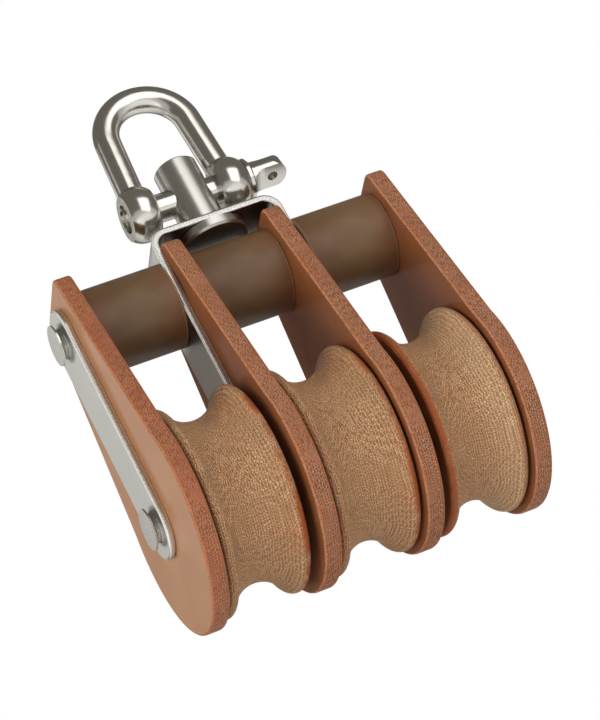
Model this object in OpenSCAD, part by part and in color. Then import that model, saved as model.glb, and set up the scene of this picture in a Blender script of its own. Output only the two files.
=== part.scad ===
// Triple swivel block: three sheaves side by side in laminated cheeks, hung from a swivel and a D shackle.
// Millimetres. +Z points up to the shackle, +X runs along the axle, and -Y is the front.
// The origin is the point inside the shackle's crown where the load bears.

/* [Sheaves] */
// Diameter over the rims
sheave_dia = 57; // [45:1:69]
// Width over the rims
sheave_w = 23; // [18:0.5:30]
// Depth of the rope groove below the rims
groove_depth = 6.2; // [3:0.1:7]
// Radius of the rounded rim on each side of the groove
rim_round = 1.5; // [0.5:0.1:3]
// Free space between a rim and the wall beside it
rim_gap = 0.7; // [0.4:0.05:1.5]
// Height of the hub face beyond the rims, on each side
hub_rise = 0.4; // [0.1:0.05:0.6]
// Wall of the sleeve that each sheave turns on
bush_wall = 2; // [1.2:0.1:3]

/* [Cheeks] */
// Thickness of a cheek
cheek_t = 5; // [3:0.1:8]
// How far a cheek stands out beyond the sheave rim
cheek_margin = 1.8; // [0.5:0.1:4]
// Width of a cheek level with the upper pin
neck_w = 31.2; // [26:0.2:40]
// Height of a cheek above the upper pin
cheek_top = 13; // [12:0.1:14.5]
// Radius of a cheek's two top corners
top_corner_r = 3.2; // [1:0.1:5]
// Small step where the straight flank meets the round end
flank_step = 0.4; // [0:0.05:1]

/* [Pins and spacers] */
// Distance between the axle and the upper pin
pin_pitch = 59; // [52:0.5:75]
// Diameter of the upper pin
upper_pin_dia = 8; // [5:0.1:10]
// Diameter of the axle
axle_dia = 8; // [5:0.1:10]
// Diameter of a pin's head
pin_head_dia = 11.2; // [9:0.1:14]
// Height of a pin's head
pin_head_h = 2; // [1:0.1:3]
// Diameter of the spacers
spacer_dia = 23.5; // [16:0.5:28.5]
// Bevel at the ends of the spacers
spacer_bevel = 0.4; // [0.1:0.05:1]

/* [Straps] */
// Width of the flat side straps
side_strap_w = 18; // [14:0.5:22]
// Thickness of the side straps
side_strap_t = 2; // [1:0.1:3]
// Width of the inverted U strap
u_strap_w = 19; // [16:0.5:24]
// Thickness of the inverted U strap
u_strap_t = 2; // [1.2:0.1:3]
// Inside radius of the U strap's bends
u_bend_r = 3; // [1:0.1:5]
// Space between the start of the U strap's bends and the cheeks' tops
bend_gap = 0.3; // [0.2:0.1:5]

/* [Swivel] */
// Diameter of the swivel post
post_dia = 12.5; // [10:0.1:15]
// Height of the post above the U strap
post_h = 22; // [20:0.5:26]
// Height of the cross hole above the U strap
post_hole_h = 11.5; // [9.5:0.1:12]
// Diameter of the head that holds the post in the strap
swivel_head_dia = 20.8; // [15:0.1:24]
// Thickness of that head
swivel_head_t = 2.7; // [1.5:0.1:4]
// Least space between that head and the spacer below it
head_gap = 1.6; // [0.5:0.1:4]
// Bevel around the post's top and the head's lower edge
post_bevel = 0.6; // [0.2:0.1:1.2]

/* [Shackle] */
// Diameter of the bow's rod
rod_dia = 7.6; // [6:0.1:9.5]
// Inside radius of the crown
crown_r = 8.2; // [7.5:0.1:11]
// Space between the ears
shackle_w = 18.6; // [16:0.1:21]
// Distance from the inside of the crown to the middle of the pin
shackle_reach = 31.5; // [26:0.1:40]
// Diameter of an ear at its fattest
ear_dia = 16; // [13:0.1:18]
// How much thicker than the rod an ear is
ear_extra = 0.6; // [0.2:0.1:2]
// Radius of the curve that bulges an ear's flank
ear_bulge_r = 6; // [5:0.1:7]
// Diameter of the shackle pin
shackle_pin_dia = 8; // [5:0.1:8.5]
// Diameter of the collar that stops against the ear
collar_dia = 11.8; // [10:0.1:15]
// Thickness of the collar
collar_t = 1.9; // [1.5:0.1:4]
// Diameter of the grip, before and around its flat
grip_dia = 8.6; // [7:0.1:12]
// Thickness of the grip's flat
grip_t = 3.8; // [2:0.1:4.5]
// Distance from the collar to the eye
grip_reach = 6.2; // [6:0.1:12]
// Radius of the hollows that run from the round neck to the flat
scoop_r = 5; // [4:0.5:12]
// Diameter of the eye in the grip
eye_dia = 3; // [2:0.1:4]
// Angle of the grip about the pin, from level
grip_turn = -15; // [-90:1:90]
// Space between the post and the ear on the grip's side
ear_gap = 1.45; // [0.5:0.05:2]

/* [Clearances] */
// Radial clearance of a part that turns on its shaft
turn_gap = 0.06; // [0.02:0.01:0.1]
// Radial clearance of a fixed pin in its hole
pin_gap = 0.05; // [0.02:0.01:0.1]
// Space between flat faces that slide on each other
seat_gap = 0.2; // [0.1:0.05:0.3]

/* [Hidden] */
$fn = 96;

// A cut runs past the face it starts from by this much
over = 1;

// Heights, down from the crown
shackle_pin_z = -shackle_reach;
plate_top_z = shackle_pin_z - post_hole_h;
plate_under_z = plate_top_z - u_strap_t;
bend_drop = u_bend_r + bend_gap + cheek_top;
head_drop = seat_gap + swivel_head_t + head_gap + spacer_dia / 2;
upper_pin_z = plate_under_z - max(bend_drop, head_drop);
axle_z = upper_pin_z - pin_pitch;

// Places along the axle, measured from the block's middle
bay_w = sheave_w + 2 * rim_gap;
inner_face = bay_w / 2;
leg_inner = inner_face + cheek_t;
leg_outer = leg_inner + u_strap_t;
outer_face = leg_outer + bay_w;
strap_inner = outer_face + cheek_t;
strap_outer = strap_inner + side_strap_t;
side_bay_x = leg_outer + bay_w / 2;

// Cheek outline, measured from the axle
cheek_r = sheave_dia / 2 + cheek_margin;
flank_r = cheek_r - flank_step;
neck_reach = norm([neck_w / 2, pin_pitch]);
flank_lean = asin(flank_r / neck_reach) - atan2(neck_w / 2, pin_pitch);
cheek_top_z = pin_pitch + cheek_top;

// Bush and bow
bush_dia = axle_dia + 2 * (pin_gap + bush_wall);
hub_dia = bush_dia + 8;
ear_t = rod_dia + ear_extra;
side_play = shackle_w / 2 - post_dia / 2 - ear_gap;
bow_r = crown_r + rod_dia / 2;
ear_mid = shackle_w / 2 + ear_t / 2;
ear_outer = shackle_w / 2 + ear_t;
crown_z = -crown_r;
ear_drop = crown_z - shackle_pin_z;
ear_dist = norm([ear_mid, ear_drop]);
leg_lean = acos(bow_r / ear_dist) - atan2(ear_drop, ear_mid);
leg_run = sqrt(ear_dist * ear_dist - bow_r * bow_r);
collar_x = ear_outer + seat_gap;
collar_end = collar_x + collar_t;

STEEL = [0.78, 0.77, 0.75];
CHEEK = [0.70, 0.38, 0.22];
SHEAVE = [0.72, 0.54, 0.38];
SPACER = [0.38, 0.27, 0.18];
BRONZE = [0.72, 0.55, 0.30];

// Children are drawn about the axle, with X along it
module at_axle() {
    translate([side_play, 0, axle_z]) children();
}

// A cylinder along +X, from x to x + length
module rod_x(x, length, dia) {
    translate([x, 0, 0]) rotate([0, 90, 0]) cylinder(d = dia, h = length);
}

// A flat plate in the YZ plane, from x to x + thickness; its outline has Z along its second axis
module plate_x(x, thickness) {
    translate([x, 0, 0]) rotate([90, 0, 90]) linear_extrude(thickness) children();
}

// Half the width of the cheek's flank at a height above the axle
function flank_at(z) = neck_w / 2 - (z - pin_pitch) * tan(flank_lean);

module cheek_outline() {
    corner_z = cheek_top_z - top_corner_r;
    corner_y = flank_at(corner_z) - top_corner_r / cos(flank_lean);
    right_side = [
        [flank_r * cos(flank_lean), flank_r * sin(flank_lean)],
        [corner_y + top_corner_r * cos(flank_lean), corner_z + top_corner_r * sin(flank_lean)],
        [corner_y, cheek_top_z]
    ];
    left_side = [for (i = [2:-1:0]) [-right_side[i].x, right_side[i].y]];
    circle(r = cheek_r);
    polygon(concat([[0, 0]], right_side, left_side));
    for (side = [-1, 1]) translate([side * corner_y, corner_z]) circle(r = top_corner_r);
}

module cheek(x) {
    color(CHEEK) at_axle() difference() {
        plate_x(x, cheek_t) cheek_outline();
        rod_x(x - over, cheek_t + 2 * over, axle_dia + 2 * pin_gap);
        translate([0, 0, pin_pitch]) rod_x(x - over, cheek_t + 2 * over, upper_pin_dia + 2 * pin_gap);
    }
}

// Half section of a sheave: radius along X, width along Y. The groove runs into the rims at a tangent.
module sheave_section() {
    rim_r = sheave_dia / 2;
    round_x = rim_r - rim_round;
    round_y = sheave_w / 2 - rim_round;
    groove_r = (groove_depth * groove_depth + round_y * round_y) / (2 * groove_depth) - rim_round;
    groove_x = rim_r - groove_depth + groove_r;
    bore_r = bush_dia / 2 + turn_gap;
    difference() {
        union() {
            translate([bore_r, -sheave_w / 2]) square([round_x - bore_r, sheave_w]);
            translate([bore_r, -round_y]) square([rim_r - bore_r, 2 * round_y]);
            translate([bore_r, -sheave_w / 2 - hub_rise])
                square([hub_dia / 2 - bore_r, sheave_w + 2 * hub_rise]);
        }
        translate([groove_x, 0]) circle(r = groove_r);
        for (side = [-1, 1]) polygon([[round_x, side * round_y], [groove_x, side * round_y], [groove_x, 0]]);
    }
    for (side = [-1, 1]) translate([round_x, side * round_y]) circle(r = rim_round);
}

module sheave(x) {
    color(SHEAVE) at_axle() translate([x, 0, 0]) rotate([0, 90, 0]) rotate_extrude() sheave_section();
}

module sheave_bush(x) {
    color(BRONZE) at_axle() difference() {
        rod_x(x - bay_w / 2, bay_w, bush_dia);
        rod_x(x - bay_w / 2 - over, bay_w + 2 * over, axle_dia + 2 * pin_gap);
    }
}

module spacer(x) {
    bore_r = upper_pin_dia / 2 + pin_gap;
    spacer_r = spacer_dia / 2;
    half = bay_w / 2;
    color(SPACER) at_axle() translate([x, 0, pin_pitch]) rotate([0, 90, 0]) rotate_extrude() polygon([
        [bore_r, -half], [spacer_r - spacer_bevel, -half], [spacer_r, spacer_bevel - half],
        [spacer_r, half - spacer_bevel], [spacer_r - spacer_bevel, half], [bore_r, half]
    ]);
}

// A pin's head: a thin flat disc whose flank narrows in a hollow curve towards the strap
module pin_head(dia) {
    rim = 0.5;
    hollow_r = min(pin_head_h - rim, (pin_head_dia - dia) / 2);
    rotate_extrude() difference() {
        square([pin_head_dia / 2, pin_head_h]);
        translate([pin_head_dia / 2, 0]) circle(r = hollow_r);
    }
}

module headed_pin(z, dia) {
    color(STEEL) at_axle() translate([0, 0, z]) {
        rod_x(-strap_outer, 2 * strap_outer, dia);
        for (side = [0, 1]) mirror([side, 0, 0]) translate([strap_outer, 0, 0])
            rotate([0, 90, 0]) pin_head(dia);
    }
}

module side_strap(x) {
    color(STEEL) at_axle() difference() {
        plate_x(x, side_strap_t) {
            translate([-side_strap_w / 2, 0]) square([side_strap_w, pin_pitch]);
            circle(d = side_strap_w);
            translate([0, pin_pitch]) circle(d = side_strap_w);
        }
        rod_x(x - over, side_strap_t + 2 * over, axle_dia + 2 * pin_gap);
        translate([0, 0, pin_pitch]) rod_x(x - over, side_strap_t + 2 * over, upper_pin_dia + 2 * pin_gap);
    }
}

// An upright bar with two round upper corners, down to the axle and past it by drop
module arch(half_w, top, corner_r, drop) {
    translate([-half_w, -drop]) square([2 * half_w, top + drop - corner_r]);
    translate([corner_r - half_w, top - corner_r]) square([2 * (half_w - corner_r), corner_r]);
    for (side = [-1, 1]) translate([side * (half_w - corner_r), top - corner_r]) circle(r = corner_r);
}

module swivel_strap() {
    strap_top = plate_top_z - axle_z;
    leg_end = u_strap_w / 2;
    color(STEEL) at_axle() difference() {
        intersection() {
            rotate([90, 0, 0]) linear_extrude(u_strap_w, center = true) difference() {
                arch(leg_outer, strap_top, u_bend_r + u_strap_t, leg_end);
                arch(leg_inner, strap_top - u_strap_t, u_bend_r, leg_end + over);
            }
            plate_x(-leg_outer - over, 2 * (leg_outer + over)) {
                circle(r = leg_end);
                translate([-leg_end, 0]) square([u_strap_w, strap_top + over]);
            }
        }
        rod_x(-leg_outer - over, 2 * (leg_outer + over), axle_dia + 2 * pin_gap);
        translate([0, 0, pin_pitch])
            rod_x(-leg_outer - over, 2 * (leg_outer + over), upper_pin_dia + 2 * pin_gap);
        translate([0, 0, strap_top - u_strap_t - over])
            cylinder(d = post_dia + 2 * turn_gap, h = u_strap_t + 2 * over);
    }
}

module swivel_post() {
    head_top = plate_under_z - seat_gap;
    post_top = plate_top_z + post_h;
    color(STEEL) translate([side_play, 0, 0]) difference() {
        rotate_extrude() polygon([
            [0, head_top - swivel_head_t], [swivel_head_dia / 2 - post_bevel, head_top - swivel_head_t],
            [swivel_head_dia / 2, head_top - swivel_head_t + post_bevel], [swivel_head_dia / 2, head_top],
            [post_dia / 2, head_top], [post_dia / 2, post_top - post_bevel],
            [post_dia / 2 - post_bevel, post_top], [0, post_top]
        ]);
        translate([0, 0, shackle_pin_z]) rod_x(-post_dia, 2 * post_dia, shackle_pin_dia + 2 * turn_gap);
    }
}

// One ear: two flat faces with a bulging flank, with its axis along +Z
module ear() {
    ear_r = ear_dia / 2;
    rotate_extrude() intersection() {
        square([ear_r, ear_t]);
        union() {
            square([ear_r - ear_bulge_r, ear_t]);
            translate([ear_r - ear_bulge_r, ear_t / 2]) circle(r = ear_bulge_r);
        }
    }
}

// The bow's legs leave the crown at a tangent and spread to the middles of the ears.
// A ball inside each tangent joint holds crown and leg in one piece.
module bow_rod() {
    joint_wall = 1;
    translate([0, 0, crown_z]) {
        rotate([90, 0, 0]) rotate([0, 0, leg_lean]) rotate_extrude(angle = 180 - 2 * leg_lean)
            translate([bow_r, 0]) circle(d = rod_dia);
        for (side = [0, 1]) mirror([side, 0, 0]) rotate([0, -leg_lean, 0]) translate([bow_r, 0, 0]) {
            translate([0, 0, -leg_run]) cylinder(d = rod_dia, h = leg_run);
            sphere(d = rod_dia - joint_wall);
        }
    }
}

module shackle_bow() {
    color(STEEL) difference() {
        union() {
            bow_rod();
            for (side = [0, 1]) mirror([side, 0, 0]) translate([shackle_w / 2, 0, shackle_pin_z])
                rotate([0, 90, 0]) ear();
        }
        translate([0, 0, shackle_pin_z])
            rod_x(-ear_outer - over, 2 * (ear_outer + over), shackle_pin_dia + 2 * turn_gap);
    }
}

// The grip: a round neck that runs through two hollows into a flat with a round end, along +X
module grip() {
    length = grip_reach + grip_dia / 2;
    flat_half = grip_t / 2;
    flat_x = grip_reach - grip_dia / 4;
    intersection() {
        rod_x(0, length, grip_dia);
        linear_extrude(2 * grip_dia, center = true) {
            translate([0, -grip_dia / 2]) square([grip_reach, grip_dia]);
            translate([grip_reach, 0]) circle(d = grip_dia);
        }
        rotate([90, 0, 0]) linear_extrude(2 * grip_dia, center = true) difference() {
            translate([0, -grip_dia / 2]) square([length, grip_dia]);
            for (side = [-1, 1]) {
                translate([flat_x, side * (flat_half + scoop_r)]) circle(r = scoop_r);
                translate([flat_x, side * (flat_half + scoop_r) - scoop_r]) square([grip_dia, 2 * scoop_r]);
            }
        }
    }
}

module shackle_pin() {
    pin_r = shackle_pin_dia / 2;
    collar_r = collar_dia / 2;
    tip_recess = 1;
    tip_bevel = 0.8;
    tip = tip_recess - ear_outer;
    edge = 0.5;
    color(STEEL) translate([0, 0, shackle_pin_z]) difference() {
        union() {
            rotate([0, 90, 0]) rotate_extrude() polygon([
                [0, tip], [pin_r - tip_bevel, tip], [pin_r, tip + tip_bevel],
                [pin_r, collar_x], [collar_r - edge, collar_x], [collar_r, collar_x + edge],
                [collar_r, collar_end - edge], [collar_r - edge, collar_end], [0, collar_end]
            ]);
            translate([collar_end, 0, 0]) rotate([grip_turn, 0, 0]) grip();
        }
        translate([collar_end + grip_reach, 0, 0]) rotate([grip_turn, 0, 0])
            cylinder(d = eye_dia, h = 2 * grip_dia, center = true);
    }
}

shackle_bow();
shackle_pin();
swivel_post();
swivel_strap();
side_strap(-strap_outer);  // side_strap_left
side_strap(strap_inner);  // side_strap_right
cheek(-strap_inner);  // cheek_outer_left
cheek(-leg_inner);  // cheek_inner_left
cheek(inner_face);  // cheek_inner_right
cheek(outer_face);  // cheek_outer_right
sheave(-side_bay_x);  // sheave_left
sheave(0);  // sheave_centre
sheave(side_bay_x);  // sheave_right
spacer(-side_bay_x);  // spacer_left
spacer(0);  // spacer_centre
spacer(side_bay_x);  // spacer_right
sheave_bush(-side_bay_x);  // sheave_bush_left
sheave_bush(0);  // sheave_bush_centre
sheave_bush(side_bay_x);  // sheave_bush_right
headed_pin(pin_pitch, upper_pin_dia);  // upper_pin
headed_pin(0, axle_dia);  // axle_pin
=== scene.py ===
"""Looks for the triple swivel block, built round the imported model."""
import math

import bpy
from mathutils import Matrix, Vector


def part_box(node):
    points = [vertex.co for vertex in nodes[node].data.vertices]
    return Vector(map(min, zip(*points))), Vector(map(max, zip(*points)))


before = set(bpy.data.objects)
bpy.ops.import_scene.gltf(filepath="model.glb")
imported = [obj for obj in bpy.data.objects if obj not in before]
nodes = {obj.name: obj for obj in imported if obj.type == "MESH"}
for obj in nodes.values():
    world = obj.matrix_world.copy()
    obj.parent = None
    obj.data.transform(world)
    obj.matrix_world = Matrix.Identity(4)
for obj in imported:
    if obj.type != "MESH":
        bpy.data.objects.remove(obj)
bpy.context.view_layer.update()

scene = bpy.context.scene

MM = 0.001
X_AXIS, Y_AXIS, Z_AXIS = range(3)
ORIGIN = (0.0, 0.0, 0.0)

# Camera: the photograph's viewpoint, fitted to the object's edges
AZIMUTH = math.radians(-20.092)
ELEVATION = math.radians(-25.330)
ROLL = math.radians(28.570)
DISTANCE = 0.76645
LENS_MM = 146.13
SENSOR_MM = 36.0
CLIP = (0.01, 20.0)
AIM = Vector((1.6, 0.0, -103.2)) * MM
AIM_RIGHT = -0.936 * MM
AIM_UP = 12.83 * MM

level_right = Vector((math.cos(AZIMUTH), math.sin(AZIMUTH), 0.0))
forward = Vector((
    -math.sin(AZIMUTH) * math.cos(ELEVATION),
    math.cos(AZIMUTH) * math.cos(ELEVATION),
    -math.sin(ELEVATION),
))
level_up = level_right.cross(forward)
right = level_right * math.cos(ROLL) - level_up * math.sin(ROLL)
up = level_right * math.sin(ROLL) + level_up * math.cos(ROLL)


def facing(place, x_axis, y_axis, z_axis):
    """A matrix with these axes as its columns, at that place."""
    matrix = Matrix((x_axis, y_axis, z_axis)).transposed().to_4x4()
    matrix.translation = place
    return matrix


# The camera looks at the aim point, a little to one side
camera_data = bpy.data.cameras.new("camera")
camera_data.lens = LENS_MM
camera_data.sensor_width = SENSOR_MM
camera_data.clip_start, camera_data.clip_end = CLIP
camera = bpy.data.objects.new("camera", camera_data)
scene.collection.objects.link(camera)
camera_place = AIM + right * AIM_RIGHT + up * AIM_UP - forward * DISTANCE
camera.matrix_world = facing(camera_place, right, up, -forward)
scene.camera = camera
scene.view_settings.view_transform = "Standard"


# Node helpers
class Graph:
    """A node tree, with a short call for each kind of node that goes into it."""

    def __init__(self, tree):
        self.tree = tree
        self.tree.nodes.clear()
        self.coords = self.tree.nodes.new("ShaderNodeTexCoord")

    def put(self, socket, value):
        """Gives a socket a link, a number or a colour."""
        if isinstance(value, bpy.types.NodeSocket):
            self.tree.links.new(value, socket)
        elif socket.type == "RGBA":
            socket.default_value = (*value, 1.0)
        else:
            socket.default_value = value

    def math(self, operation, *values, clamp=False):
        node = self.tree.nodes.new("ShaderNodeMath")
        node.operation = operation
        node.use_clamp = clamp
        for socket, value in zip(node.inputs, values):
            self.put(socket, value)
        return node.outputs[0]

    def add(self, a, b):
        return self.math("ADD", a, b)

    def sub(self, a, b):
        return self.math("SUBTRACT", a, b)

    def mul(self, a, b):
        return self.math("MULTIPLY", a, b)

    def sine(self, a):
        return self.math("SINE", a)

    def absolute(self, a):
        return self.math("ABSOLUTE", a)

    def band(self, value, low, high):
        """0 below low, 1 above high, smooth between; reversed if low is above high."""
        node = self.tree.nodes.new("ShaderNodeMapRange")
        node.interpolation_type = "SMOOTHSTEP"
        self.put(node.inputs["Value"], value)
        first, last = (0.0, 1.0) if low < high else (1.0, 0.0)
        node.inputs["From Min"].default_value = min(low, high)
        node.inputs["From Max"].default_value = max(low, high)
        node.inputs["To Min"].default_value = first
        node.inputs["To Max"].default_value = last
        return node.outputs["Result"]

    def between(self, fac, low, high):
        """A number that runs from low to high as fac goes from 0 to 1."""
        return self.math("MULTIPLY_ADD", fac, high - low, low)

    def blend(self, fac, a, b):
        """The first number where fac is 0, the second where it is 1."""
        return self.add(self.mul(a, self.sub(1.0, fac)), self.mul(b, fac))

    def mix(self, fac, a, b, kind="MIX"):
        """The first colour where fac is 0, the second where it is 1."""
        node = self.tree.nodes.new("ShaderNodeMix")
        node.data_type = "RGBA"
        node.blend_type = kind
        self.put(node.inputs["Factor"], fac)
        self.put(node.inputs[6], a)
        self.put(node.inputs[7], b)
        return node.outputs[2]

    def split(self, vector):
        node = self.tree.nodes.new("ShaderNodeSeparateXYZ")
        self.tree.links.new(vector, node.inputs[0])
        return node.outputs[0], node.outputs[1], node.outputs[2]

    def rays(self, *kinds):
        """How many of these kinds the ray is: 0 where it is none of them."""
        node = self.tree.nodes.new("ShaderNodeLightPath")
        total = node.outputs[kinds[0]]
        for kind in kinds[1:]:
            total = self.add(total, node.outputs[kind])
        return total


class Look(Graph):
    """A principled material, whose textures are laid out in millimetres from a centre."""

    def __init__(self, name, centre=ORIGIN):
        self.material = bpy.data.materials.new(name)
        self.material.use_nodes = True
        super().__init__(self.material.node_tree)
        self.centre = centre
        self.bsdf = self.tree.nodes.new("ShaderNodeBsdfPrincipled")
        output = self.tree.nodes.new("ShaderNodeOutputMaterial")
        self.tree.links.new(self.bsdf.outputs[0], output.inputs["Surface"])

    def mapped(self, per_mm, centre):
        """Millimetres from a centre, times a number, or times one number for each axis."""
        scale = per_mm if isinstance(per_mm, tuple) else (per_mm, per_mm, per_mm)
        node = self.tree.nodes.new("ShaderNodeVectorMath")
        node.operation = "MULTIPLY_ADD"
        self.tree.links.new(self.coords.outputs["Object"], node.inputs[0])
        node.inputs[1].default_value = [factor / MM for factor in scale]
        node.inputs[2].default_value = [-start * factor for start, factor in zip(centre, scale)]
        return node.outputs[0]

    def position(self):
        """X, Y and Z in millimetres from the centre."""
        return self.split(self.mapped(1.0, self.centre))

    def noise(self, per_mm, detail, roughness=0.5, distortion=0.0):
        """Cloudy noise, 0 to 1, with about that many clouds to a millimetre."""
        node = self.tree.nodes.new("ShaderNodeTexNoise")
        self.tree.links.new(self.mapped(per_mm, self.centre), node.inputs["Vector"])
        node.inputs["Scale"].default_value = 1.0
        node.inputs["Detail"].default_value = detail
        node.inputs["Roughness"].default_value = roughness
        node.inputs["Distortion"].default_value = distortion
        return node.outputs["Fac"]

    def normal_part(self, axis):
        """The size of one axis of the surface's normal, 0 to 1."""
        return self.absolute(self.split(self.coords.outputs["Normal"])[axis])

    def facing_down(self):
        """1 where the surface faces down, 0 where it doesn't, smooth between."""
        return self.band(self.split(self.coords.outputs["Normal"])[Z_AXIS], -0.5, -0.9)

    def bump(self, height, strength, distance_mm, normal=None):
        node = self.tree.nodes.new("ShaderNodeBump")
        node.inputs["Strength"].default_value = strength
        node.inputs["Distance"].default_value = distance_mm * MM
        self.put(node.inputs["Height"], height)
        if normal is not None:
            self.put(node.inputs["Normal"], normal)
        return node.outputs[0]

    def finish(self, color, roughness, normal=None, **fixed):
        """Fills the principled shader and gives back the material."""
        self.put(self.bsdf.inputs["Base Color"], color)
        self.put(self.bsdf.inputs["Roughness"], roughness)
        if normal is not None:
            self.put(self.bsdf.inputs["Normal"], normal)
        for name, value in fixed.items():
            self.put(self.bsdf.inputs[name.replace("_", " ")], value)
        return self.material


# Colours and pieces
def scaled(color, factor):
    return tuple(factor * channel for channel in color)


def middle(name):
    """The middle of a node's box, in millimetres."""
    low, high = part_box(name)
    return tuple((a + b) / (2.0 * MM) for a, b in zip(low, high))


def half_width(name):
    """Half of a node's size along X, in millimetres."""
    low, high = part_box(name)
    return (high.x - low.x) / (2.0 * MM)


def dress(name, material):
    mesh = nodes[name].data
    mesh.materials.clear()
    mesh.materials.append(material)


# Laminated cloth: thread and ply in millimetres, noises in clouds to a millimetre
THREAD = 0.62
PLY = 0.68
PLY_SWAY_NOISE = 0.09
PLY_SWAY = 2.2
THREAD_SWAY_NOISE = 0.35
THREAD_SWAY = 2.4
PLY_BULGE = 0.33
RING_SHARE = 0.30
DASH_SHARE = 0.55
DASH_MEAN = 0.55
FLECK_SHARE = 1.05
GRAIN_NOISE = 1.6
BLOTCH_NOISE = 0.07
PATCH_NOISE = 0.16
DRIFT_NOISE = (0.12, 0.10, 0.10)
# Painted light: the pale thread colour painted onto a lit end of a sheave
PAINTED_LIGHT_THREAD = (1.0, 0.80, 0.52)
ROSY = (1.02, 0.95, 0.92)
GREYER = (0.88, 0.92, 0.95)


def woven(look, seed, fleck_noise):
    """Brightness of plain-woven cloth in stacked plies, cut by the surface: 0 resin, 1 thread."""
    x, y, z = look.position()
    ply_sway = look.mul(look.noise(PLY_SWAY_NOISE, 2.0), PLY_SWAY)
    depth = look.add(look.mul(x, 1.0 / PLY), ply_sway)
    shift = look.tree.nodes.new("ShaderNodeTexWhiteNoise")
    shift.noise_dimensions = "1D"
    look.put(shift.inputs["W"], look.add(look.math("FLOOR", depth), seed))
    shift_y, shift_z, _ = look.split(shift.outputs["Color"])
    sway = look.mul(look.sub(look.noise(THREAD_SWAY_NOISE, 3.0), 0.5), THREAD_SWAY)
    count_y = look.add(look.add(look.mul(y, 1.0 / THREAD), look.mul(shift_y, 2.0)), sway)
    count_z = look.add(look.sub(look.mul(z, 1.0 / THREAD), sway), look.mul(shift_z, 2.0))
    wave_y = look.sine(look.mul(count_y, math.pi))
    wave_z = look.sine(look.mul(count_z, math.pi))
    over = look.mul(wave_y, wave_z)
    ring = look.sine(look.mul(look.add(depth, look.mul(over, PLY_BULGE)), 2.0 * math.pi))
    warp = look.band(over, -0.12, 0.12)
    dash_y = look.mul(warp, look.absolute(wave_y))
    dash_z = look.mul(look.sub(1.0, warp), look.absolute(wave_z))
    dash = look.mul(look.sub(look.add(dash_y, dash_z), DASH_MEAN), DASH_SHARE)
    fleck = look.mul(look.sub(look.noise(fleck_noise, 2.0, 0.6), 0.5), FLECK_SHARE)
    level = look.add(look.add(look.mul(ring, RING_SHARE), dash), fleck)
    return look.math("ADD", level, 0.5, clamp=True)


def laminate(name, piece, recipe, seed, specular, skins, patchy, lit_outer_side=0, painted_light_end=0.0):
    """Cloth laminate: resin-rich near its faces, weave where it is cut.

    recipe has its colours and: skin, how many millimetres from a face it starts to turn orange and
    is fully so; ragged, how uneven that is; contrast, of thread against resin; fleck, the flecks to
    a millimetre; calm, how even some patches are; worn_and_highlight, how much its corners are
    painted pale, partly for wear and partly as a painted highlight; relief, its bump.
    skins is how orange it turns next to its -X and its +X face, and patchy how much of that is
    broken up. lit_outer_side is -1 or 1 where the face on that side of X gets lighter colours, a
    painted light for the light that falls on that face, and painted_light_end is how strongly the +X
    end is painted lighter, a painted light for the light that falls there."""
    look = Look(name, middle(piece))
    half = half_width(piece)
    weave = woven(look, seed, recipe["fleck"])
    x = look.position()[X_AXIS]
    facing_side = look.normal_part(X_AXIS)
    face = look.band(facing_side, 0.90, 0.985)
    grain = look.noise(GRAIN_NOISE, 3.0, 0.6)
    blotch = look.noise(BLOTCH_NOISE, 3.0)
    patch = look.noise(PATCH_NOISE, 2.0)
    drift = look.noise(DRIFT_NOISE, 2.0)

    cut = look.mix(look.math("POWER", weave, recipe["contrast"]), recipe["resin"], recipe["thread"])
    cut = look.mix(look.mul(look.band(blotch, 0.35, 0.7), 0.45), cut, recipe["blotch"])
    cut = look.mix(look.mul(look.band(patch, 0.46, 0.30), recipe["calm"]), cut, recipe["even"])
    cut = look.mix(look.band(drift, 0.46, 0.30), cut, ROSY, "MULTIPLY")
    cut = look.mix(look.band(drift, 0.54, 0.70), cut, GREYER, "MULTIPLY")
    # Painted light: the +X end of the weave is painted paler, for the light that falls there
    if painted_light_end:
        painted_light_weave = look.mix(weave, recipe["blotch"], PAINTED_LIGHT_THREAD)
        cut = look.mix(look.mul(look.band(x, 1.0, 10.0), painted_light_end), cut, painted_light_weave)

    skin_start, skin_full = recipe["skin"]
    skin_depth = look.add(look.absolute(x), look.mul(look.sub(grain, 0.5), recipe["ragged"]))
    skin = look.band(skin_depth, half - skin_start, half - skin_full)
    skin = look.mul(skin, look.between(look.band(patch, 0.40, 0.54), 1.0 - patchy, 1.0))
    skin = look.mul(skin, look.between(look.band(x, -0.5, 0.5), *skins))
    cut = look.mix(skin, cut, recipe["orange"])

    smooth = look.mix(look.band(blotch, 0.3, 0.7), recipe["face_dark"], recipe["face_light"])
    smooth = look.mix(look.mul(grain, 0.2), smooth, recipe["face_dark"])
    # Painted light: the outer face gets lighter colours than the inner faces, for the light that falls on it
    if lit_outer_side:
        lit_outer = look.mix(look.band(blotch, 0.3, 0.7), recipe["lit_outer_dark"], recipe["lit_outer_light"])
        smooth = look.mix(look.band(look.mul(x, float(lit_outer_side)), 0.0, 0.5), smooth, lit_outer)
    color = look.mix(face, cut, smooth)

    # Pale corners: partly wear, partly a painted highlight along the edges
    if recipe["worn_and_highlight"]:
        corner = look.mul(look.band(facing_side, 0.30, 0.60), look.band(facing_side, 0.98, 0.86))
        wear_and_highlight = look.mul(look.band(grain, 0.30, 0.65), recipe["worn_and_highlight"])
        color = look.mix(look.mul(corner, wear_and_highlight), color, recipe["thread"])

    roughness = look.blend(face, look.between(grain, 0.50, 0.70), look.between(grain, 0.24, 0.36))
    normal = look.bump(look.mul(weave, look.sub(1.0, face)), recipe["relief"], 0.2)
    normal = look.bump(grain, 0.06, 0.2, normal)
    return look.finish(color, roughness, normal, Specular_IOR_Level=specular)


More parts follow.
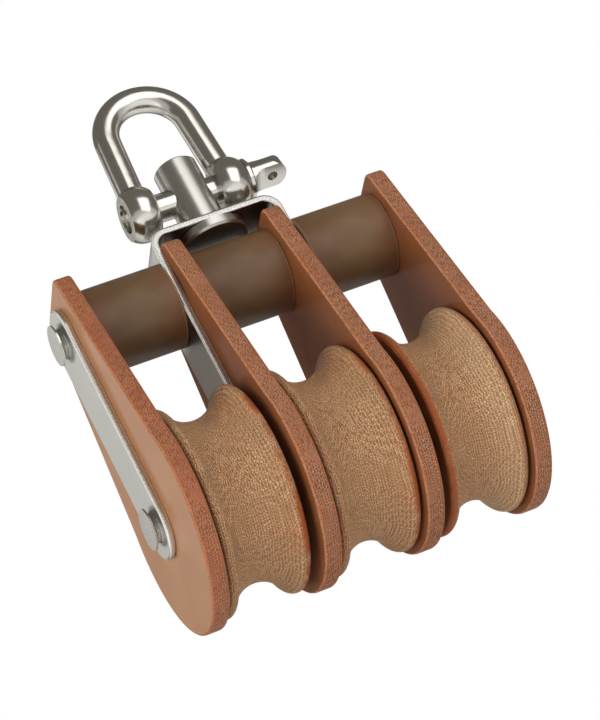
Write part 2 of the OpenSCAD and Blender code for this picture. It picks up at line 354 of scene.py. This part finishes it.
CHEEK_CLOTH = {
    "thread": (0.60, 0.272, 0.134),
    "resin": (0.245, 0.058, 0.019),
    "blotch": (0.315, 0.094, 0.039),
    "orange": (0.40, 0.112, 0.030),
    "even": (0.41, 0.138, 0.060),
    "face_dark": (0.235, 0.080, 0.030),
    "face_light": (0.300, 0.108, 0.041),
    # Painted light: lighter colours for an outer face, for the light that falls on it
    "lit_outer_dark": (0.415, 0.178, 0.071),
    "lit_outer_light": (0.455, 0.204, 0.084),
    "skin": (1.3, 0.1),
    "relief": 0.5,
    "ragged": 1.8,
    "contrast": 2.1,
    "fleck": 2.8,
    "calm": 0.55,
    "worn_and_highlight": 0.55,
}
GREY_CHEEK_CLOTH = {
    **CHEEK_CLOTH,
    "thread": (0.62, 0.340, 0.205),
    "resin": (0.240, 0.072, 0.030),
    "blotch": (0.310, 0.120, 0.060),
    "even": (0.40, 0.172, 0.094),
}
SHEAVE_CLOTH = {
    "thread": (0.82, 0.54, 0.31),
    "resin": (0.262, 0.106, 0.036),
    "blotch": (0.42, 0.205, 0.092),
    "orange": (0.36, 0.088, 0.024),
    "even": (0.47, 0.245, 0.118),
    "face_dark": (0.26, 0.085, 0.028),
    "face_light": (0.33, 0.12, 0.042),
    "skin": (2.9, 1.7),
    "relief": 0.7,
    "ragged": 1.8,
    "contrast": 2.0,
    "fleck": 2.4,
    "calm": 0.12,
    "worn_and_highlight": 0.0,
}
CHEEK_SKINS = (0.6, 0.5)
CHEEK_PATCHY = 0.7
SHEAVE_SPECULAR = 0.24

# Each cheek's cloth, specular level, and which face is painted lighter, a painted light for the light that
# falls on that face
CHEEKS = {
    "cheek_outer_left": (CHEEK_CLOTH, 0.36, -1),
    "cheek_inner_left": (GREY_CHEEK_CLOTH, 0.03, 0),
    "cheek_inner_right": (GREY_CHEEK_CLOTH, 0.03, 0),
    "cheek_outer_right": (GREY_CHEEK_CLOTH, 0.10, 1),
}
# Each sheave's skins, patchy, and how much painted light lightens its +X end
SHEAVES = {
    "sheave_left": ((0.1, 1.0), 0.85, 0.0),
    "sheave_centre": ((0.3, 0.9), 0.6, 0.0),
    "sheave_right": ((0.95, 0.45), 0.15, 0.30),
}
for number, (name, (recipe, specular, lit_outer_side)) in enumerate(CHEEKS.items()):
    seed = 11.0 * number
    dress(name, laminate(name + "_laminate", name, recipe, seed, specular,
                         CHEEK_SKINS, CHEEK_PATCHY, lit_outer_side))
for number, (name, (skins, patchy, painted_light_end)) in enumerate(SHEAVES.items()):
    seed = 60.0 + 50.0 * number
    dress(name, laminate(name + "_laminate", name, SHEAVE_CLOTH, seed, SHEAVE_SPECULAR,
                         skins, patchy, painted_light_end=painted_light_end))


# Dark rolled tube of the spacers
TUBE_DARK = (0.118, 0.060, 0.026)
TUBE_LIGHT = (0.152, 0.092, 0.043)
TUBE_FLECK = (0.185, 0.104, 0.048)
# Painted reflection of the orange cheeks, towards a tube's ends
TUBE_PAINTED_BOUNCE = (0.20, 0.075, 0.032)
TUBE_RIM = (0.42, 0.28, 0.17)
TUBE_END = (0.11, 0.055, 0.028)
TUBE_FINE_NOISE = 2.2
TUBE_BROAD_NOISE = (0.10, 0.16, 0.16)
TUBE_RING_NOISE = (1.4, 0.03, 0.03)
TUBE_SPECULAR = 0.36

# Painted light: how much lighter each tube is painted, for the light that falls on it
TUBE_PAINTED_LIGHT = {"spacer_left": 1.0, "spacer_centre": 1.05, "spacer_right": 1.22}


def rolled(name, piece, painted_lightness):
    """Dark rolled tube: a faint mottle, a painted reflection of the orange cheeks towards its ends,
    a pale thin ring at each end, and colours scaled by a painted lightness.
    """
    look = Look(name, middle(piece))
    half = half_width(piece)
    fine = look.noise(TUBE_FINE_NOISE, 3.0, 0.6)
    broad = look.noise(TUBE_BROAD_NOISE, 3.0)
    rings = look.noise(TUBE_RING_NOISE, 2.0)
    along = look.absolute(look.position()[X_AXIS])
    painted_bounce_ends = look.band(look.add(along, look.mul(broad, 6.0)), half - 5.0, half + 3.0)
    rim = look.mul(look.band(along, half - 0.7, half - 0.4), look.mul(fine, 1.4))
    end = look.band(look.normal_part(X_AXIS), 0.8, 0.95)
    # Painted light: the tube's colours are scaled by its painted lightness
    dark, light, fleck = (scaled(color, painted_lightness) for color in (TUBE_DARK, TUBE_LIGHT, TUBE_FLECK))
    color = look.mix(look.band(broad, 0.3, 0.7), dark, light)
    color = look.mix(look.mul(fine, 0.5), color, fleck)
    # Painted reflection: redder towards the ends, for the orange cheeks' light on the tube
    color = look.mix(look.mul(painted_bounce_ends, 0.55), color, TUBE_PAINTED_BOUNCE)
    color = look.mix(rim, color, TUBE_RIM)
    color = look.mix(end, color, TUBE_END)
    normal = look.bump(look.add(fine, rings), 0.10, 0.2)
    return look.finish(color, look.between(fine, 0.38, 0.54), normal, Specular_IOR_Level=TUBE_SPECULAR)


for name, painted_lightness in TUBE_PAINTED_LIGHT.items():
    dress(name, rolled(name + "_tube", name, painted_lightness))


# Steels
BOW_TINT = (0.66, 0.64, 0.59)
PIN_TINT = (0.64, 0.62, 0.57)
POST_TINT = (0.64, 0.62, 0.58)
POST_PAINTED_SHADE = (0.30, 0.28, 0.25)
# Painted shade for the swivel post's downward faces
TURNED_TINT = (0.68, 0.67, 0.63)
SWIVEL_STRAP_TINT = (0.70, 0.69, 0.65)
SIDE_STRAP_TINT = (0.74, 0.74, 0.70)
SCUFF = (0.76, 0.75, 0.72)
# Painted shade for a strap's low faces and the faces that face down
PAINTED_SHADE = (0.15, 0.125, 0.098)
PAINTED_SHADE_UNDER = (0.20, 0.18, 0.155)
GRIT_DARK = (0.34, 0.33, 0.31)
GRIT_LIGHT = (0.66, 0.65, 0.62)
# Painted highlight on a strap's corners
PAINTED_HIGHLIGHT_CORNER = (0.86, 0.85, 0.81)
RIPPLE_NOISE = 0.16
CAST_NOISE = 3.0
PIT_NOISE = 3.6
FINE_NOISE = 2.5
BROAD_NOISE = 0.10
SCUFF_NOISE = 0.5
GRIT_NOISE = 4.0
LATHE_NOISE = 7.0
GRAINY_ABOVE = -52.0
# Painted shade starts below this height, in millimetres
PAINTED_SHADE_BELOW = -64.0


def polished(name, tint, rough):
    """Cast and tumbled stainless: bright, with a faint ripple and fine pits."""
    look = Look(name)
    ripple = look.noise(RIPPLE_NOISE, 1.0)
    fine = look.noise(CAST_NOISE, 3.0, 0.6)
    pits = look.band(look.noise(PIT_NOISE, 2.0), 0.66, 0.74)
    color = look.mix(ripple, tint, scaled(tint, 0.92))
    color = look.mix(look.mul(pits, 0.45), color, scaled(tint, 0.5))
    normal = look.bump(ripple, 0.10, 0.6)
    normal = look.bump(look.sub(fine, look.mul(pits, 0.8)), 0.05, 0.1, normal)
    return look.finish(color, look.between(fine, *rough), normal, Metallic=1.0)


def strip(name, tint, grainy_above=None, painted_shade_below=None):
    """Flat strip with satin faces and a painted highlight on its corners.

    Its sheared edges are grainy above the first height and, when a second height is given, its
    faces get painted shade below it and wherever they face down; both in millimetres."""
    look = Look(name)
    fine = look.noise(FINE_NOISE, 3.0, 0.6)
    broad = look.noise(BROAD_NOISE, 2.0)
    scuff = look.band(look.noise(SCUFF_NOISE, 4.0, 0.65, 1.5), 0.60, 0.68)
    grit = look.noise(GRIT_NOISE, 2.0, 0.6)
    edge = look.band(look.normal_part(Y_AXIS), 0.45, 0.85)
    height = look.add(look.position()[Z_AXIS], look.mul(broad, 4.0))
    grainy = 0.0
    if grainy_above is not None:
        grainy = look.band(height, grainy_above - 4.0, grainy_above)

    color = look.mix(broad, tint, scaled(tint, 0.9))
    color = look.mix(look.mul(scuff, 0.12), color, SCUFF)
    # Painted shade: the faces darken below the given height and where they face down
    if painted_shade_below is not None:
        color = look.mix(look.band(height, painted_shade_below, painted_shade_below - 9.0), color, PAINTED_SHADE)
        color = look.mix(look.facing_down(), color, PAINTED_SHADE_UNDER)
    sheared = look.mix(look.band(grit, 0.40, 0.60), GRIT_DARK, GRIT_LIGHT)
    color = look.mix(edge, color, look.mix(grainy, scaled(tint, 0.85), sheared))
    # Painted highlight: the corners are painted near white and made less metallic, so they show bright
    corner_x = look.band(look.normal_part(X_AXIS), 0.12, 0.40)
    corner_y = look.band(look.normal_part(Y_AXIS), 0.12, 0.40)
    corner = look.mul(corner_x, corner_y)
    color = look.mix(corner, color, PAINTED_HIGHLIGHT_CORNER)

    look.put(look.bsdf.inputs["Metallic"], look.between(corner, 1.0, 0.35))
    roughness = look.blend(edge, look.between(fine, 0.26, 0.36), look.between(grit, 0.18, 0.36))
    normal = look.bump(look.mul(look.mul(grit, edge), grainy), 0.12, 0.1)
    normal = look.bump(fine, 0.015, 0.1, normal)
    return look.finish(color, roughness, normal)


def turned(name, piece, axis, tint, rough, painted_shade_under=None):
    """Turned bar with fine rings about its axis, and painted shade on its downward faces where a shade
    colour is given.
    """
    look = Look(name)
    parts = look.split(look.mapped(1.0, middle(piece)))
    a, b = (parts[i] for i in (X_AXIS, Y_AXIS, Z_AXIS) if i != axis)
    radius = look.math("SQRT", look.add(look.mul(a, a), look.mul(b, b)))
    rings = look.tree.nodes.new("ShaderNodeTexNoise")
    rings.noise_dimensions = "1D"
    look.put(rings.inputs["W"], look.mul(look.add(radius, parts[axis]), LATHE_NOISE))
    rings.inputs["Detail"].default_value = 2.0
    lathe = rings.outputs["Fac"]
    fine = look.noise(FINE_NOISE, 3.0, 0.6)
    color = look.mix(look.mul(look.add(fine, lathe), 0.5), tint, scaled(tint, 0.93))
    # Painted shade: darker where the surface faces down
    if painted_shade_under is not None:
        color = look.mix(look.facing_down(), color, painted_shade_under)
    normal = look.bump(lathe, 0.015, 0.1)
    normal = look.bump(fine, 0.004, 0.1, normal)
    return look.finish(color, look.between(fine, *rough), normal, Metallic=1.0)


dress("shackle_bow", polished("bow_steel", BOW_TINT, (0.15, 0.25)))
dress("shackle_pin", polished("shackle_pin_steel", PIN_TINT, (0.12, 0.24)))
dress("swivel_post", turned("swivel_post_steel", "swivel_post", Z_AXIS, POST_TINT, (0.24, 0.34), POST_PAINTED_SHADE))
dress("swivel_strap", strip("swivel_strap_steel", SWIVEL_STRAP_TINT, GRAINY_ABOVE, PAINTED_SHADE_BELOW))
for name in ("side_strap_left", "side_strap_right"):
    dress(name, strip(name + "_steel", SIDE_STRAP_TINT))
for name in ("upper_pin", "axle_pin", "sheave_bush_left", "sheave_bush_centre", "sheave_bush_right"):
    dress(name, turned(name + "_steel", name, X_AXIS, TURNED_TINT, (0.20, 0.32)))


# Softened edges
CHEEK_EDGE = 0.8
STRAP_EDGE = 0.6
EDGE_SEGMENTS = 3
SHARP_ANGLE = math.radians(35.0)
FLAT_ANGLE = math.radians(0.5)
WELD_DISTANCE = 1e-6


def soften(name, width):
    """Rounds a node's sharp edges by that many millimetres."""
    weld = nodes[name].modifiers.new("weld", "WELD")
    weld.merge_threshold = WELD_DISTANCE
    flat = nodes[name].modifiers.new("flat", "DECIMATE")
    flat.decimate_type = "DISSOLVE"
    flat.angle_limit = FLAT_ANGLE
    bevel = nodes[name].modifiers.new("bevel", "BEVEL")
    bevel.width = width * MM
    bevel.segments = EDGE_SEGMENTS
    bevel.limit_method = "ANGLE"
    bevel.angle_limit = SHARP_ANGLE
    bevel.loop_slide = False
    bevel.use_clamp_overlap = False
    even = nodes[name].modifiers.new("even", "WEIGHTED_NORMAL")
    even.weight = 100
    even.keep_sharp = False


for name in CHEEKS:
    soften(name, CHEEK_EDGE)
for name in ("side_strap_left", "side_strap_right", "swivel_strap"):
    soften(name, STRAP_EDGE)


# Lights
def softbox(name, place, width, height, level, in_gloss=True):
    """A soft panel that faces the object; level is its own brightness, where 1 is white."""
    light = bpy.data.lights.new(name, "AREA")
    light.shape = "RECTANGLE"
    light.size = width
    light.size_y = height
    light.energy = level * math.pi * width * height
    z_axis = (place - AIM).normalized()
    x_axis = up.cross(z_axis).normalized()
    lamp = bpy.data.objects.new(name, light)
    scene.collection.objects.link(lamp)
    lamp.matrix_world = facing(place, x_axis, z_axis.cross(x_axis), z_axis)
    lamp.visible_glossy = in_gloss


def towards(x, y, z, distance):
    """The point that far from the aim point in that direction."""
    return AIM + Vector((x, y, z)).normalized() * distance


softbox("key", towards(0.30, -0.93, 0.16, 0.95), width=0.84, height=1.0, level=1.7)
softbox("side", towards(-0.94, 0.18, 0.22, 0.9), width=0.42, height=0.9, level=0.62)
softbox("side_soft", towards(-0.84, -0.46, -0.05, 0.91), width=0.75, height=0.75, level=3.2, in_gloss=False)
softbox("panel", Vector((-0.265, 0.382, 0.099)), width=0.19, height=0.32, level=0.9)
softbox("top_soft", towards(0.10, 0.20, 1.0, 1.15), width=1.0, height=1.0, level=0.9, in_gloss=False)
softbox("back_soft", towards(0.45, 0.85, 0.30, 1.1), width=1.0, height=1.0, level=1.3, in_gloss=False)
softbox("right_soft", towards(1.0, 0.12, 0.25, 1.1), width=0.9, height=0.9, level=0.8, in_gloss=False)

# World: white to the camera and, in reflections, behind the object; a dim room round it
WHITE = (1.0, 1.0, 1.0)
ROOM = (0.18, 0.168, 0.145)
FILL = (0.18, 0.175, 0.165)
WHITE_STARTS = 0.90
WHITE_FULL = 0.985

world = bpy.data.worlds.new("studio")
scene.world = world
world.use_nodes = True
sky = Graph(world.node_tree)
ahead = sky.tree.nodes.new("ShaderNodeVectorMath")
ahead.operation = "DOT_PRODUCT"
sky.put(ahead.inputs[0], sky.coords.outputs["Generated"])
sky.put(ahead.inputs[1], forward)
behind = sky.band(ahead.outputs["Value"], WHITE_STARTS, WHITE_FULL)
seen_in_gloss = sky.mix(behind, ROOM, WHITE)
seen = sky.mix(sky.rays("Is Glossy Ray"), FILL, seen_in_gloss)
seen = sky.mix(sky.rays("Is Camera Ray", "Is Transmission Ray"), seen, WHITE)
studio = sky.tree.nodes.new("ShaderNodeBackground")
sky.put(studio.inputs["Color"], seen)
result = sky.tree.nodes.new("ShaderNodeOutputWorld")
sky.put(result.inputs["Surface"], studio.outputs[0])

# Floor
FLOOR_Z = -0.62
FLOOR_HALF = 3.0
FLOOR_COLOR = (0.82, 0.82, 0.81)
FLOOR_ROUGHNESS = 0.8
FLOOR_GLOW = 0.42

corners = [(x * FLOOR_HALF, y * FLOOR_HALF, FLOOR_Z) for x, y in ((-1, -1), (1, -1), (1, 1), (-1, 1))]
floor_mesh = bpy.data.meshes.new("floor")
floor_mesh.from_pydata(corners, [], [(0, 1, 2, 3)])
floor = bpy.data.objects.new("floor", floor_mesh)
scene.collection.objects.link(floor)
paper = Look("floor_paper")
paper_seen = paper.rays("Is Camera Ray", "Is Glossy Ray", "Is Transmission Ray")
paper.put(paper.bsdf.inputs["Emission Strength"], paper.mul(paper_seen, FLOOR_GLOW))
floor_mesh.materials.append(paper.finish(FLOOR_COLOR, FLOOR_ROUGHNESS, Emission_Color=WHITE))
